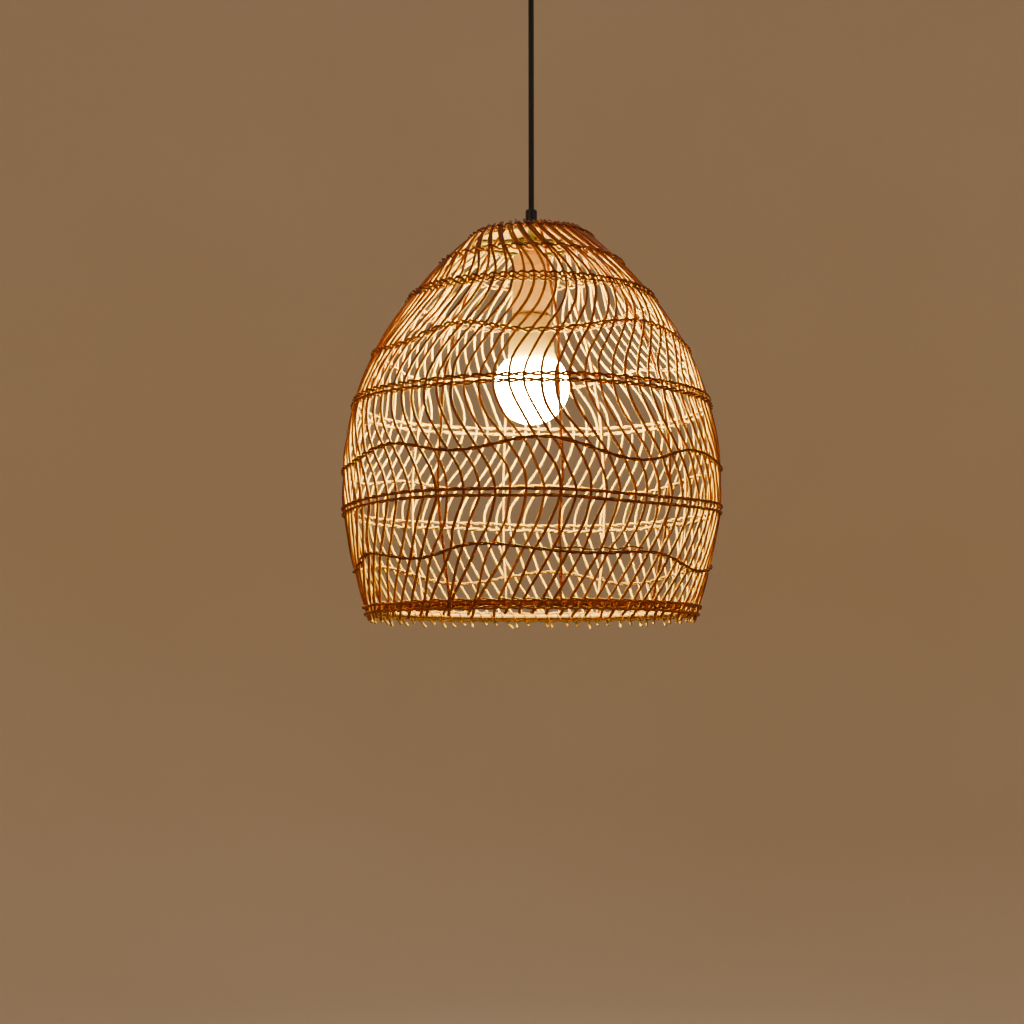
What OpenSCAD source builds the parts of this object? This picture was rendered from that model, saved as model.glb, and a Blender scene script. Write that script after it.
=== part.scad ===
// Woven rattan pendant lamp: ceiling fitting, cord, lampholder, globe bulb and bell-shaped shade.
// Millimetres, +Z up. The origin is the middle of the face that meets the ceiling, and all hangs below it.
// Depths on the shade are measured down from the plane of its top edge.
// Azimuth 0 faces -Y, and it grows towards +X.

/* [Shade] */
// Widest diameter, over the stakes
shade_d = 400; // [333:1:480]
// Height from the top edge to the middle of the rim band
shade_h = 402; // [335:1:483]
// Depth of the widest place
widest_depth = 280; // [240:1:320]
// Diameter at the top edge
top_d = 126; // [110:1:152]
// Diameter at the rim
rim_d = 350; // [300:1:380]

/* [Weave] */
// Number of standing rods
stake_count = 80; // [60:4:96]
// Diameter of a standing rod
stake_d = 3; // [2.5:0.1:3.6]
// Diameter of a woven strand
strand_d = 2.4; // [2:0.1:3]
// Number of frame ribs inside the weave
rib_count = 10; // [6:1:12]
// Diameter of a rib
rib_d = 3; // [2.5:0.1:4]
// Thickness of the hoop in the rim
rim_hoop_d = 8; // [6:0.5:10]
// Thickness of the strands bound outside the rim
rim_strand_d = 3; // [2.5:0.1:3.6]
// Height between the two strands of a double row
double_pitch = 6; // [5:0.5:8]
// Gap between crossing layers of the weave
weave_gap = 0.8; // [0.6:0.1:1.2]
// Length of rod that stands over the top edge
top_stub = 4; // [2:1:6]
// Length of rod that hangs below the rim band's middle
rim_stub = 14; // [10:1:18]

/* [Hanging] */
// Depth of the shade's top edge below the ceiling
drop = 320; // [310:1:900]
// Diameter of the cord
cord_d = 6; // [5:0.5:7]
// Greatest swing of the cord that the ceiling grip leaves room for
swing = 20; // [10:1:20]

/* [Ceiling fitting] */
// Diameter of the canopy
canopy_d = 100; // [90:1:140]
// Height of the canopy
canopy_h = 25; // [22:1:40]
// Wall of the canopy
canopy_wall = 1.2; // [1:0.1:2]
// Distance between the ceiling screws
screw_spacing = 60; // [50:1:70]
// Width of a ceiling screw's slot
slot_w = 5; // [4:0.5:6]
// Length of a ceiling screw's slot
slot_l = 14; // [10:1:18]
// Width of the bracket's strip
bracket_w = 20; // [18:1:24]
// Thickness of the bracket's strip
bracket_t = 2; // [1.5:0.1:3]
// Diameter of the canopy's side screws
side_screw_d = 4; // [3:0.5:5]

/* [Fittings] */
// Outside diameter of the hollow thread
thread_d = 10; // [9.5:0.5:12]
// Bore of the hollow thread
thread_bore = 7; // [6.5:0.5:8]
// Diameter of the lower cord grip
grip_d = 12.5; // [12:0.5:18]
// Length of the lower cord grip
grip_h = 24.5; // [18:0.5:30]
// Diameter of the ceiling cord grip
ceiling_grip_d = 14; // [14:0.5:20]
// Width of a nut across its flats
nut_af = 15; // [14:1:19]
// Height of a nut
nut_h = 5; // [3:0.5:6]
// Width of a spider arm
arm_w = 8; // [6:1:12]
// Thickness of the spider's sheet
spider_t = 2; // [1.5:0.1:3]
// Thickness of the wire of the top ring
ring_wire_d = 3; // [2.5:0.1:4]
// Thickness of the disc that closes the top
disc_t = 3; // [2:0.5:4]

/* [Lampholder] */
// Outside diameter of the lampholder
holder_d = 41; // [39:1:50]
// Length of the lampholder
holder_h = 77.6; // [74:0.1:94]
// Wall of the lampholder
holder_wall = 2.2; // [1.8:0.1:3]
// Length of the lampholder's cap
holder_cap_h = 26; // [24:1:30]
// Inside diameter of the screw shell
shell_bore = 27; // [26.8:0.1:27.4]

/* [Bulb] */
// Diameter of the globe
globe_d = 80; // [70:1:96]
// Wall of the globe
globe_wall = 1.2; // [1:0.1:2]
// Diameter of the bulb's screw cap
bulb_cap_d = 26.2; // [26:0.1:26.2]
// Length of the bulb's screw cap
bulb_cap_h = 24; // [22:1:25]
// Diameter of the housing below the lampholder
housing_top_d = 43; // [40:1:46]
// Diameter of the housing at the globe
housing_end_d = 51; // [46:1:54]
// Height of the housing from the screw cap to the globe
housing_h = 57.2; // [48:0.1:70]
// Wall of the housing
housing_wall = 2; // [1.5:0.1:3]

/* [Hidden] */
$fn = 64;

RATTAN = "peru";
BARK = "saddlebrown";
BLACK = [0.08, 0.08, 0.08];
STEEL = "silver";
CREAM = [0.93, 0.9, 0.84];

// Clearance round fixed pieces that seat in each other, and between pieces that turn in each other
seat = 0.2;
run = 0.4;
// Clearance between end faces that meet
face_gap = 0.3;

// Levels of the woven rows, as shares of the shade's height, so that the pattern follows it
row_share = [0.08, 0.175, 0.325, 0.46, 0.625, 0.74, 0.88];
row_a_depth = row_share[0] * shade_h;
row_b_depth = row_share[1] * shade_h;
row_c_depth = row_share[2] * shade_h;
row_d_depth = row_share[3] * shade_h;
row_e_depth = row_share[4] * shade_h;
row_f_depth = row_share[5] * shade_h;
row_g_depth = row_share[6] * shade_h;

// Azimuth that a rod has reached at rows B, D and F and at the rim, from 0 at the top edge
lean_b = 21;
lean_d = 4;
lean_f = 18.5;
lean_rim = 3.5;
// How much closer the two rods of a pair stand at the top edge, in degrees
pair_pinch = 0.55;

// Crests and troughs of the three wandering rows: azimuth, then rise above the row's level
wave_c = [
    [-80, -2], [-52, -7], [-27, 7], [0, -5], [44, 14], [78, 2], [102, -4], [135, 6], [165, -5],
    [195, 5], [228, -4], [255, 4], [280, -2]
];
wave_e = [
    [-72, -4], [-46, 8], [-22, -4], [2, 7], [31, -12], [54, 4], [80, -3], [110, 2], [139, -8],
    [176, 5], [208, -1], [225, 3], [252, -8], [288, -4]
];
wave_g = [
    [-79, -8], [-60, 6], [-37, -3], [-17, 9], [15, 0], [37, 3], [64, -11], [100, 3], [142, -11],
    [173, 5], [208, -10], [240, 4], [281, -8]
];

// Half the thickness of a rod, drawn square with the same area as the round one
rod_half = stake_d * sqrt(PI) / 4;
// Distances of the layers from the rods' middle surface, outwards
strand_off = rod_half + weave_gap + strand_d / 2;
rib_off = -(rod_half + 1.5 * weave_gap + strand_d + rib_d / 2);
rim_hoop_off = -(rod_half + weave_gap + rim_hoop_d / 2);
rim_strand_off = rod_half + weave_gap + rim_strand_d / 2;
// The spider's arms curl round the top ring, just inside the rods
curl_t = 1;
curl_in = ring_wire_d / 2 + seat;
curl_out = curl_in + curl_t;
ring_off = -(rod_half + 2 * weave_gap + curl_out);

// Heights of the pieces in the stack below the cord
ring_z = shade_point(0, 0, ring_off)[2];
ring_r = -shade_point(0, 0, ring_off)[1];
spider_top = ring_z + spider_t / 2;
disc_top = spider_top + face_gap + disc_t;
nut_top = disc_top + face_gap + nut_h;
grip_bottom = nut_top + face_gap;
grip_top = grip_bottom + grip_h;
washer_h = 1.6;
washer_top = spider_top - spider_t - face_gap;
holder_top = washer_top - washer_h - face_gap;
holder_bottom = holder_top - holder_h;
insert_h = 12;
insert_top = holder_top - holder_cap_h - 1;
insert_bottom = insert_top - insert_h;
shell_h = 30;
bulb_top = insert_bottom - 3.4;
bulb_cap_top = bulb_top - 4.5;
housing_top = bulb_cap_top - bulb_cap_h - face_gap;
housing_bottom = housing_top - housing_h;
globe_cut = 27 / 80 * globe_d;
globe_z = housing_bottom - face_gap - globe_cut;

// The cord turns about this point in the ceiling grip's mouth
grip_neck_z = -canopy_h - 6;
pivot_z = -canopy_h - 10;
ceiling_grip_bottom = -canopy_h - 13;
cord_r = cord_d / 2;
cord_bore = cord_r + run;

// Heights that the cord passes through, from the ceiling grip down to the lower grip
cord_heights = [
    -50, -65, -80, -95, -110, -125, -140, -155, -170, -185, -200, -215, -230, -245, -260, -275
];
cord_top = pivot_z - cord_r - face_gap;
cord_end = grip_bottom + 13;
cord_route = [for (z = concat([cord_top], cord_heights, [cord_end])) [0, 0, z]];

// ---- Shape of the shade ----

// Outside radius at a depth: a full shoulder above the widest place, a gentle tuck below it
function shade_r(depth) = depth < widest_depth
    ? top_d / 2 + (shade_d - top_d) / 2 * (1 - pow(1 - depth / widest_depth, 2.35))
    : shade_d / 2 - (shade_d - rim_d) / 2 * pow((depth - widest_depth) / (shade_h - widest_depth), 1.5);

// How fast the radius grows with depth
function shade_slope(depth) = (shade_r(depth + 1) - shade_r(depth - 1)) / 2;

// Point at an azimuth and depth, set off outwards from the rods' middle surface
function shade_point(azimuth, depth, off) =
    let (
        slope = shade_slope(depth),
        r = shade_r(depth) - stake_d / 2 + off / norm([1, slope]),
        z = -drop - depth + off * slope / norm([1, slope])
    )
    [r * sin(azimuth), -r * cos(azimuth), z];

// Smooth step from 0 to 1
function ease(t) = (1 - cos(180 * t)) / 2;

// Azimuth that a rod has gained at a depth
function lean(depth) =
    depth < row_b_depth ? lean_b * sin(90 * depth / row_b_depth)
    : depth < row_d_depth ? lean_b + (lean_d - lean_b) * ease((depth - row_b_depth) / (row_d_depth - row_b_depth))
    : depth < row_f_depth ? lean_d + (lean_f - lean_d) * ease((depth - row_d_depth) / (row_f_depth - row_d_depth))
    : lean_f + (lean_rim - lean_f) * pow((depth - row_f_depth) / (shade_h - row_f_depth), 1.3);

// Shift that brings a rod to its partner near the top edge
function pinch(index, depth) =
    (index % 2 == 0 ? 1 : -1) * pair_pinch * max(0, 1 - max(0, depth) / row_b_depth);

// Rise of a wandering row at an azimuth, eased from one crest or trough to the next
function wave(turns, azimuth) =
    let (
        a = azimuth < turns[0][0] ? azimuth + 360 : azimuth,
        i = max([for (k = [0 : len(turns) - 2]) if (turns[k][0] <= a) k]),
        t = (a - turns[i][0]) / (turns[i + 1][0] - turns[i][0])
    )
    turns[i][1] + (turns[i + 1][1] - turns[i][1]) * ease(t);

// ---- Sweeping ----

function unit(v) = v / norm(v);

// Direction of a path at one of its points
function heading(path, i, closed) =
    let (
        n = len(path),
        before = closed ? path[(i + n - 1) % n] : path[max(i - 1, 0)],
        after = closed ? path[(i + 1) % n] : path[min(i + 1, n - 1)]
    )
    unit(after - before);

// Corners of the section at one point of a path, with its first side facing the guide direction
function section(path, i, r, sides, closed, guide) =
    let (
        t = heading(path, i, closed),
        g = is_undef(guide) ? [path[i][0], path[i][1], 0] : guide,
        u = unit(g - (g * t) * t),
        v = cross(t, u)
    )
    [for (k = [0 : sides - 1])
        let (a = 360 * (k + 0.5) / sides) path[i] + r * (cos(a) * u + sin(a) * v)];

// Rods along paths of one length, each a closed shell; without a guide the section faces the Z axis
module rods(paths, r, sides, closed = false, guide = undef) {
    n = len(paths[0]);
    last = closed ? n - 1 : n - 2;
    points = [for (p = paths) for (i = [0 : n - 1]) each section(p, i, r, sides, closed, guide)];
    faces = [for (j = [0 : len(paths) - 1])
        let (first = j * n * sides)
        each concat(
            [for (i = [0 : last]) for (k = [0 : sides - 1])
                let (
                    a = first + i * sides + k,
                    b = first + i * sides + (k + 1) % sides,
                    c = first + (i + 1) % n * sides + k,
                    d = first + (i + 1) % n * sides + (k + 1) % sides
                )
                each [[a, c, d], [a, d, b]]],
            closed ? [] : [
                [for (k = [0 : sides - 1]) first + k],
                [for (k = [sides - 1 : -1 : 0]) first + (n - 1) * sides + k]
            ]
        )];
    polyhedron(points, faces);
}

// ---- Shared hardware ----

// Upright ring from z down by h
module ring(z, h, r_out, r_in) {
    translate([0, 0, z - h])
        difference() {
            cylinder(r = r_out, h = h);
            translate([0, 0, -1])
                cylinder(r = r_in, h = h + 2);
        }
}

// Hexagon nut from z down, on the hollow thread
module hollow_nut(z) {
    translate([0, 0, z - nut_h])
        difference() {
            cylinder(r = nut_af / sqrt(3), h = nut_h, $fn = 6);
            translate([0, 0, -1])
                cylinder(r = thread_d / 2 + seat, h = nut_h + 2);
        }
}

// Slot through a flat strip, its long way along X
module slot(length, width, depth) {
    straight = length - width;
    cube([straight, width, depth], center = true);
    for (side = [-1, 1])
        translate([side * straight / 2, 0, 0])
            cylinder(r = width / 2, h = depth, center = true);
}

// ---- Ceiling fitting ----

bracket_half = canopy_d / 2 - canopy_wall - 2.5;
tab_h = canopy_h - 7;
side_screw_z = -canopy_h * 0.56;

module mounting_bracket() {
    color(STEEL)
        difference() {
            union() {
                translate([-bracket_half, -bracket_w / 2, -bracket_t])
                    cube([2 * bracket_half, bracket_w, bracket_t]);
                for (side = [-1, 1])
                    translate([side * (bracket_half - bracket_t / 2), 0, -tab_h / 2])
                        cube([bracket_t, bracket_w, tab_h], center = true);
            }
            for (side = [-1, 1])
                translate([side * screw_spacing / 2, 0, -bracket_t / 2])
                    slot(slot_l, slot_w, bracket_t + 2);
            translate([0, 0, -bracket_t - 1])
                cylinder(r = thread_d / 2, h = bracket_t + 2);
            translate([0, 0, side_screw_z])
                rotate([0, 90, 0])
                    cylinder(r = side_screw_d / 2 + seat, h = canopy_d, center = true);
        }
}

module canopy() {
    r = canopy_d / 2;
    bend = 6;
    inner_bend = bend - canopy_wall;
    outer = [for (a = [0 : 10 : 90]) [r - bend + bend * cos(a), -canopy_h + bend - bend * sin(a)]];
    inner = [for (a = [90 : -10 : 0])
        [r - bend + inner_bend * cos(a), -canopy_h + bend - inner_bend * sin(a)]];
    hole = thread_d / 2 + seat;
    color(BLACK)
        difference() {
            rotate_extrude()
                polygon(concat(
                    [[r, 0]], outer, [[hole, -canopy_h], [hole, -canopy_h + canopy_wall]],
                    inner, [[r - canopy_wall, 0]]
                ));
            translate([0, 0, side_screw_z])
                rotate([0, 90, 0])
                    cylinder(r = side_screw_d / 2 + seat, h = canopy_d + 2, center = true);
        }
}

module canopy_screws() {
    head_x = canopy_d / 2 + seat;
    color(BLACK)
        for (side = [0, 180])
            rotate([0, 0, side])
                translate([0, 0, side_screw_z])
                    rotate([0, 90, 0]) {
                        translate([0, 0, bracket_half - bracket_t - 2])
                            cylinder(r = side_screw_d / 2, h = head_x - bracket_half + bracket_t + 2.5);
                        translate([0, 0, head_x])
                            cylinder(r = side_screw_d * 0.95, h = 2.4);
                    }
}

// The terminal block hangs beside the bracket, over the cord's end
block_size = [22, 16, 13];
block_y = bracket_w / 2 + 4;
block_top = -3;
pole_x = 5.5;
pole_z = block_top - block_size[2] / 2;

module terminal_block() {
    color("white")
        difference() {
            translate([-block_size[0] / 2, block_y, block_top - block_size[2]])
                cube(block_size);
            for (side = [-1, 1]) {
                translate([side * pole_x, block_y - 1, pole_z])
                    rotate([-90, 0, 0])
                        cylinder(r = 1.7, h = block_size[1] + 2);
                for (y = [4, 12])
                    translate([side * pole_x, block_y + y, block_top - block_size[2] - 1])
                        cylinder(r = 1.9, h = 5);
            }
        }
}

module terminal_screws() {
    color(STEEL)
        for (side = [-1, 1])
            for (y = [4, 12])
                translate([side * pole_x, block_y + y, block_top - block_size[2] + 0.5])
                    difference() {
                        cylinder(r = 1.6, h = 3);
                        translate([0, 0, 0.3])
                            cube([4, 0.6, 0.8], center = true);
                    }
}

// Threaded spigot through the canopy, and below it a body with a bell mouth that the cord swings in
module ceiling_grip() {
    spigot = thread_d / 2;
    body = ceiling_grip_d / 2;
    mouth = body - 1.2;
    color(BLACK)
        difference() {
            rotate_extrude()
                polygon([
                    [cord_bore, -canopy_h + 12], [spigot, -canopy_h + 12],
                    [spigot, -canopy_h - face_gap], [body, -canopy_h - face_gap],
                    [body, ceiling_grip_bottom + 1], [body - 0.6, ceiling_grip_bottom],
                    [mouth, ceiling_grip_bottom], [cord_bore, grip_neck_z]
                ]);
            translate([0, 0, -canopy_h - 3.4])
                rotate([-90, 0, 0])
                    cylinder(r = 1.5 + seat, h = body + 1);
        }
}

module ceiling_nut() {
    color(STEEL)
        hollow_nut(-canopy_h + canopy_wall + face_gap + nut_h);
}

module ceiling_grip_screw() {
    color(STEEL)
        translate([0, cord_r + 0.1, -canopy_h - 3.4])
            rotate([-90, 0, 0])
                cylinder(r = 1.5, h = ceiling_grip_d / 2 - cord_r - 0.4);
}

tail_top = -canopy_h + 14;

module ceiling_cord_tail() {
    color(BLACK)
        translate([0, 0, pivot_z + cord_r + face_gap])
            cylinder(r = cord_r, h = tail_top - pivot_z - cord_r - face_gap);
}

// A core from the end of the cord's sheath into its pole
module core(side) {
    rods([[
        [side * 1.4, 0, tail_top + 0.2], [side * 1.5, 0.5, tail_top + 2],
        [side * 2.5, 4, tail_top + 3], [side * 4, 9, (tail_top + 3 + pole_z) / 2 + 1],
        [side * pole_x, block_y - 2, pole_z], [side * pole_x, block_y + 3, pole_z]
    ]], 1, 8, guide = [1, 0, 0.01]);
}

module live_wire() {
    color("saddlebrown")
        core(1);
}

module neutral_wire() {
    color("royalblue")
        core(-1);
}

// ---- Cord ----

module cord_flex() {
    color(BLACK)
        translate([0, 0, pivot_z])
            sphere(r = cord_r);
}

module pendant_cord() {
    color(BLACK)
        rods([cord_route], cord_r, 10, guide = [1, 0, 0]);
}

module cord_grip() {
    r = grip_d / 2;
    thread_top = grip_bottom + 10;
    color(BLACK)
        difference() {
            rotate_extrude()
                polygon([
                    [cord_bore, grip_top], [r - 1.6, grip_top], [r - 0.5, grip_top - 0.5],
                    [r, grip_top - 1.6], [r, grip_bottom], [thread_d / 2 + seat, grip_bottom],
                    [thread_d / 2 + seat, thread_top], [cord_bore, thread_top]
                ]);
            translate([0, 0, grip_top - 7])
                rotate([90, 0, 0])
                    cylinder(r = 1.5 + seat, h = r + 1);
        }
}

module grip_screw() {
    color(STEEL)
        translate([0, -cord_bore, grip_top - 7])
            rotate([90, 0, 0])
                cylinder(r = 1.5, h = grip_d / 2 - cord_bore - 0.2);
}

// ---- Shade carrier ----

thread_up = grip_bottom + 9;
thread_low = holder_top - 8;

module hollow_thread() {
    color(STEEL)
        ring(thread_up, thread_up - thread_low, thread_d / 2, thread_bore / 2);
}

module thread_nut() {
    color(STEEL)
        hollow_nut(nut_top);
}

module thread_washer() {
    color(STEEL)
        ring(washer_top, washer_h, thread_d + 1, thread_d / 2 + seat);
}

module lower_cord_tail() {
    top = cord_end - face_gap;
    color(BLACK)
        translate([0, 0, thread_low - 2])
            cylinder(r = cord_r, h = top - thread_low + 2);
}

// Sheet hub with arms that curl round the top ring
module spider() {
    arms = 4;
    curl_angle = 360 * arm_w / (2 * PI * ring_r);
    color(BLACK)
        difference() {
            union() {
                translate([0, 0, ring_z])
                    cylinder(r = thread_d + 6, h = spider_t, center = true);
                for (i = [0 : arms - 1])
                    rotate([0, 0, 360 / arms * i])
                        translate([(ring_r - curl_in) / 2, 0, ring_z])
                            cube([ring_r - curl_out, arm_w, spider_t], center = true);
                for (i = [0 : arms - 1])
                    rotate([0, 0, 360 / arms * i - curl_angle / 2])
                        translate([0, 0, ring_z])
                            rotate_extrude(angle = curl_angle)
                                translate([ring_r, 0])
                                    circle(r = curl_out);
            }
            translate([0, 0, ring_z])
                rotate_extrude()
                    translate([ring_r, 0])
                        circle(r = curl_in);
            translate([0, 0, ring_z])
                cylinder(r = thread_d / 2 + seat, h = spider_t + 2, center = true);
        }
}

// Wooden disc on the spider's arms
module top_disc() {
    color(RATTAN)
        ring(disc_top, disc_t, ring_r - curl_out - face_gap, thread_d / 2 + seat);
}

module top_ring() {
    color(BLACK)
        translate([0, 0, ring_z])
            rotate_extrude()
                translate([ring_r, 0])
                    circle(r = ring_wire_d / 2);
}

// ---- Lampholder ----

holder_r = holder_d / 2;
holder_in = holder_r - holder_wall;
shell_r = shell_bore / 2;

module holder_cap() {
    bore = thread_d / 2 + seat;
    collar = bore + 4.8;
    color(CREAM)
        translate([0, 0, holder_top])
            rotate_extrude()
                polygon([
                    [bore, 0], [collar - 1, 0], [collar, -1], [collar, -7], [holder_r, -16],
                    [holder_r, -holder_cap_h], [holder_in, -holder_cap_h], [holder_in, -17.5],
                    [bore, -9]
                ]);
}

module holder_body() {
    top = -holder_cap_h - face_gap;
    color(CREAM)
        translate([0, 0, holder_top])
            rotate_extrude()
                polygon([
                    [holder_in, top], [holder_r, top], [holder_r, -holder_h + 1.2],
                    [holder_r - 0.8, -holder_h], [holder_in, -holder_h]
                ]);
}

holder_screw_x = 9;

module holder_insert() {
    color("white")
        translate([0, 0, insert_bottom])
            difference() {
                cylinder(r = holder_in - run, h = insert_h);
                for (side = [-1, 1])
                    translate([side * holder_screw_x, 0, 4])
                        cylinder(r = 1.9, h = insert_h);
                translate([0, 0, -1])
                    cylinder(r = 2.2, h = insert_h + 2);
            }
}

module screw_shell() {
    color("goldenrod")
        ring(insert_bottom - face_gap, shell_h, shell_r + 0.6, shell_r);
}

module holder_contact() {
    color("goldenrod") {
        translate([0, 0, insert_bottom - 2.4])
            cylinder(r = 4, h = 1.6);
        translate([0, 0, insert_bottom - 1])
            cylinder(r = 1.8, h = insert_h + 2);
    }
}

module holder_screws() {
    color(STEEL)
        for (side = [-1, 1])
            translate([side * holder_screw_x, 0, insert_bottom + 4.5])
                cylinder(r = 1.6, h = insert_h - 3);
}

// The two cores from the end of the sheath to the lampholder's screws
module holder_leads() {
    start = thread_low - 2.3;
    finish = insert_bottom + insert_h + 2;
    color("gainsboro")
        for (side = [-1, 1])
            rods([[
                [side * 1.4, 0, start], [side * 1.8, 0, start - 2], [side * 5, 0, start - 5],
                [side * 8, 0, (start + finish) / 2 - 1], [side * holder_screw_x, 0, finish]
            ]], 1, 8, guide = [0, 1, 0]);
}

// ---- Shade ----

module ribs() {
    first = 3;
    last = shade_h - rim_hoop_d / 2 - 1.5;
    steps = 12;
    color(BARK)
        rods([for (k = [0 : rib_count - 1])
            [for (i = [0 : steps])
                shade_point(8 + 360 / rib_count * k, first + (last - first) * i / steps, rib_off)]],
            rib_d / 2, 6);
}

// Depths where a rod has a section: at every row, and halfway where the rod turns
stake_depths = [
    -top_stub, row_a_depth, row_b_depth, (row_b_depth + row_c_depth) / 2, row_c_depth,
    (row_c_depth + row_d_depth) / 2, row_d_depth, (row_d_depth + row_e_depth) / 2, row_e_depth,
    (row_e_depth + row_f_depth) / 2, row_f_depth, (row_f_depth + row_g_depth) / 2, row_g_depth,
    (row_g_depth + shade_h) / 2, shade_h, shade_h + rim_stub
];

// A quarter of the rods, from one azimuth on
module stakes(quarter) {
    share = stake_count / 4;
    color(RATTAN)
        rods([for (k = [quarter * share : (quarter + 1) * share - 1])
            [for (d = stake_depths)
                shade_point(-45 + 360 / stake_count * (k + 0.5) + lean(d) + pinch(k, d), d, 0)]],
            rod_half * sqrt(2), 4);
}

module stakes_front() { stakes(0); }
module stakes_right() { stakes(1); }
module stakes_back() { stakes(2); }
module stakes_left() { stakes(3); }

// Level strand round the shade, at a depth and an offset from the rods
module level_strand(depth, off, d) {
    p = shade_point(0, depth, off);
    translate([0, 0, p[2]])
        rotate_extrude()
            translate([-p[1], 0])
                circle(r = d / 2);
}

// A pair of level strands, one inside the rods and one outside
module level_row(depth) {
    for (side = [-1, 1])
        level_strand(depth, side * strand_off, strand_d);
}

// A pair of strands that wander up and down as they go round
module wandering_row(depth, turns) {
    steps = 60;
    rods([for (side = [-1, 1])
        [for (i = [0 : steps - 1])
            let (a = 360 / steps * i - 75)
            shade_point(a, depth - wave(turns, a), side * strand_off)]],
        strand_d / 2, 6, closed = true);
}

module row_a() {
    color(BARK)
        level_row(row_a_depth);
}

module row_b() {
    color(BARK)
        for (side = [-1, 1])
            level_row(row_b_depth + side * strand_d * 0.65);
}

module row_c() {
    color(BARK)
        wandering_row(row_c_depth, wave_c);
}

module row_d() {
    color(BARK)
        for (side = [-1, 1])
            level_row(row_d_depth + side * double_pitch / 2);
}

module row_e() {
    color(BARK)
        wandering_row(row_e_depth, wave_e);
}

module row_f() {
    color(BARK)
        for (side = [-1, 1])
            level_row(row_f_depth + side * double_pitch / 2);
}

module row_g() {
    color(BARK)
        wandering_row(row_g_depth, wave_g);
}

module rim_hoop() {
    color(BARK)
        level_strand(shade_h, rim_hoop_off, rim_hoop_d);
}

module rim_binding() {
    pitch = rim_strand_d + 0.4;
    color(BARK)
        for (i = [-1 : 1])
            level_strand(shade_h + i * pitch, rim_strand_off, rim_strand_d);
}

// ---- Bulb ----

bulb_cap_r = bulb_cap_d / 2;
contact_r = 4.5;

module bulb_contact() {
    color("silver")
        translate([0, 0, bulb_top - 2])
            cylinder(r = contact_r, h = 2);
}

// Black cone between the tip contact and the screw cap
module bulb_insulator() {
    color("black")
        rotate_extrude()
            polygon([
                [contact_r + run, bulb_top - 1], [contact_r + 1.8, bulb_top - 1],
                [bulb_cap_r - 1.2, bulb_cap_top + face_gap], [contact_r + run, bulb_cap_top + face_gap]
            ]);
}

module bulb_cap() {
    color("silver")
        ring(bulb_cap_top, bulb_cap_h, bulb_cap_r, bulb_cap_r - 0.5);
}

// Flared shell: a neck inside the lampholder, then a shoulder just below it
module bulb_housing() {
    neck = holder_in - 2.3;
    shoulder = holder_bottom - 1.4;
    wall = housing_wall;
    top_r = housing_top_d / 2;
    end_r = housing_end_d / 2;
    color(CREAM)
        rotate_extrude()
            polygon([
                [10, housing_top], [neck - 1, housing_top], [neck, housing_top - 1], [neck, shoulder],
                [top_r - 1, shoulder - 1], [top_r, shoulder - 3], [end_r, housing_bottom],
                [end_r - wall, housing_bottom], [top_r - wall, shoulder - 3 - wall],
                [neck - wall, shoulder - wall - 0.5], [neck - wall, housing_top - wall],
                [10, housing_top - wall]
            ]);
}

plate_r = housing_end_d / 2 - housing_wall - 0.7;
plate_z = housing_bottom + 2.5;

module driver_board() {
    board_h = 34;
    color("seagreen") {
        translate([0, 0, plate_z + 3 + board_h / 2])
            cube([22, 1.6, board_h], center = true);
        translate([-4, 3.7, plate_z + 14])
            cylinder(r = 3.2, h = 12);
        translate([5, 3.3, plate_z + 12])
            cube([7, 5.2, 7], center = true);
    }
}

// Disc with a circle of light-emitting chips on its underside
module led_plate() {
    chips = 12;
    color("white") {
        translate([0, 0, plate_z])
            cylinder(r = plate_r, h = 1.5);
        for (i = [0 : chips - 1])
            rotate([0, 0, 360 / chips * i])
                translate([plate_r - 6, 0, plate_z])
                    cube([3, 3, 1.6], center = true);
    }
}

module globe() {
    r = globe_d / 2;
    mouth = housing_end_d / 2 - housing_wall;
    lip = sqrt(r * r - globe_cut * globe_cut);
    color([1, 0.97, 0.9])
        translate([0, 0, globe_z]) {
            difference() {
                sphere(r = r);
                sphere(r = r - globe_wall);
                translate([0, 0, globe_cut])
                    cylinder(r = r, h = r);
            }
            translate([0, 0, globe_cut - globe_wall])
                difference() {
                    cylinder(r = lip, h = globe_wall);
                    translate([0, 0, -1])
                        cylinder(r = mouth, h = globe_wall + 2);
                }
        }
}

mounting_bracket();
canopy();
canopy_screws();
terminal_block();
terminal_screws();
ceiling_grip();
ceiling_nut();
ceiling_grip_screw();
ceiling_cord_tail();
live_wire();
neutral_wire();
cord_flex();
pendant_cord();
cord_grip();
grip_screw();
hollow_thread();
thread_nut();
thread_washer();
lower_cord_tail();
spider();
top_disc();
top_ring();
holder_cap();
holder_body();
holder_insert();
screw_shell();
holder_contact();
holder_screws();
holder_leads();
ribs();
stakes_front();
stakes_right();
stakes_back();
stakes_left();
row_a();
row_b();
row_c();
row_d();
row_e();
row_f();
row_g();
rim_hoop();
rim_binding();
bulb_contact();
bulb_insulator();
bulb_cap();
bulb_housing();
driver_board();
led_plate();
globe();
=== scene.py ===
"""Looks of a woven rattan pendant lamp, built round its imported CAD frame. Metres, +Z up, -Y towards the camera."""
import math

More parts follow.
